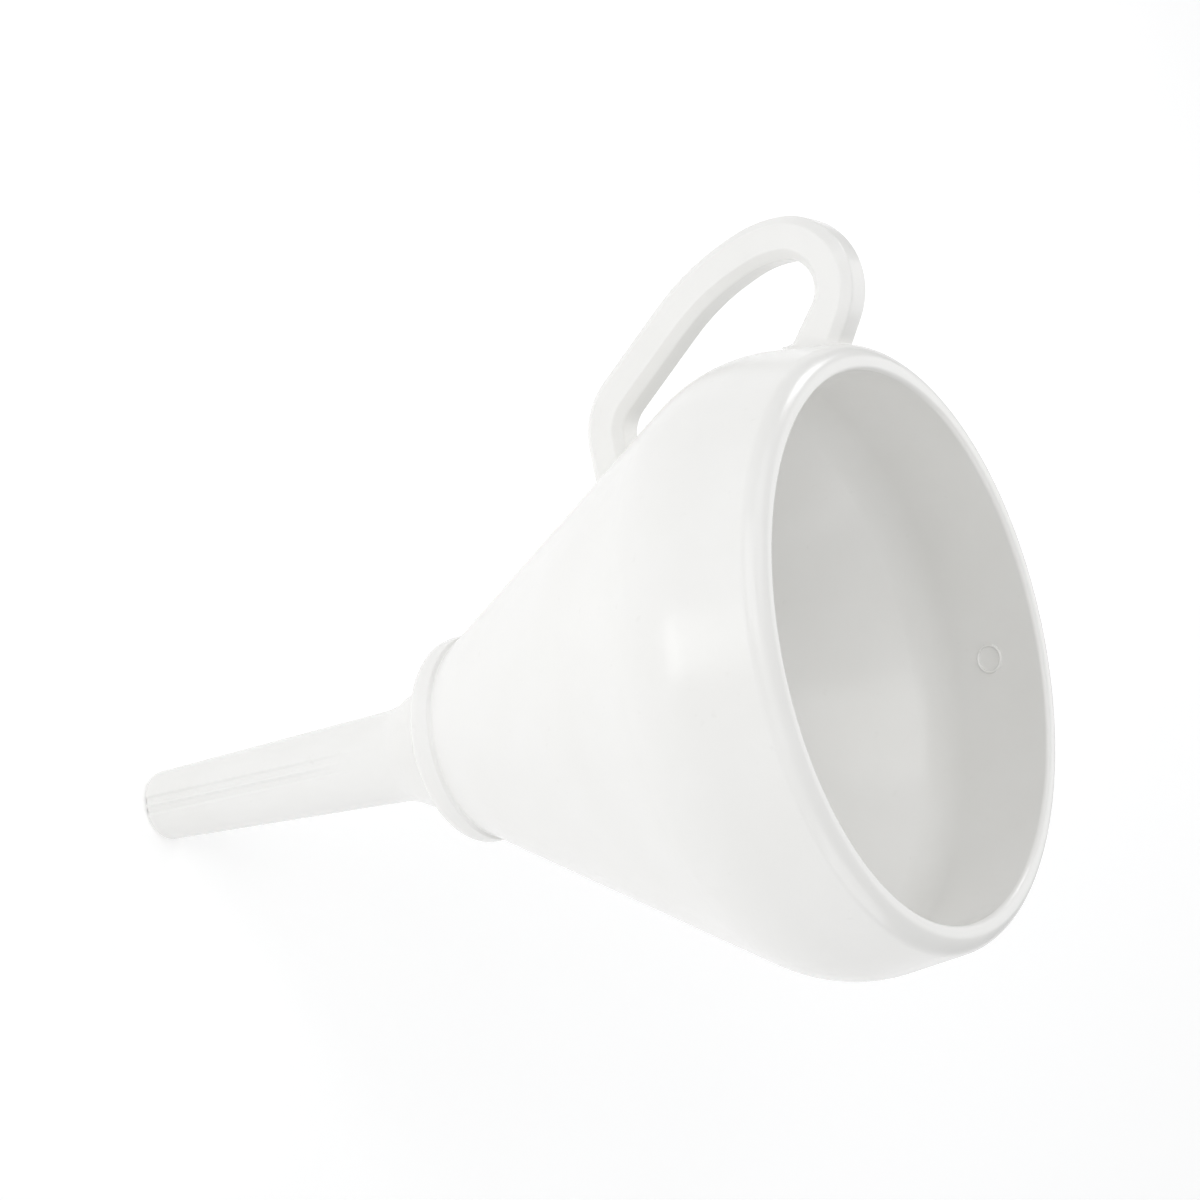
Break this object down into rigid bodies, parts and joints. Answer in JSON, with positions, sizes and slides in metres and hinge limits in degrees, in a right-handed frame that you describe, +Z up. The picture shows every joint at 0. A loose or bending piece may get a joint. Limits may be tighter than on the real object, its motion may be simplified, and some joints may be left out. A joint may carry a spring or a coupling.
{
  "type": "filling funnel",
  "caption": "Polyethylene filling funnel: conical bowl with a thick rounded lip, stop collar, long tapered spout with side air channels, and a closed loop handle.",
  "frame": {"origin": "on the funnel's axis, in the plane of the collar's underside, where the funnel sits on a bottle's mouth", "axes": "+Z up the axis towards the mouth, +X radially towards the loop handle, +Y to the left of the handle seen from the mouth side"},
  "size_m": [0.145, 0.1198, 0.1822],
  "materials": {
    "polyethylene": "satin, slightly translucent natural white"
  },
  "bodies": {
    "root": {"spout": "polyethylene", "collar": "polyethylene", "bowl": "polyethylene", "rim": "polyethylene", "handle": "polyethylene", "mould_mark": "polyethylene"}
  },
  "joints": []
}
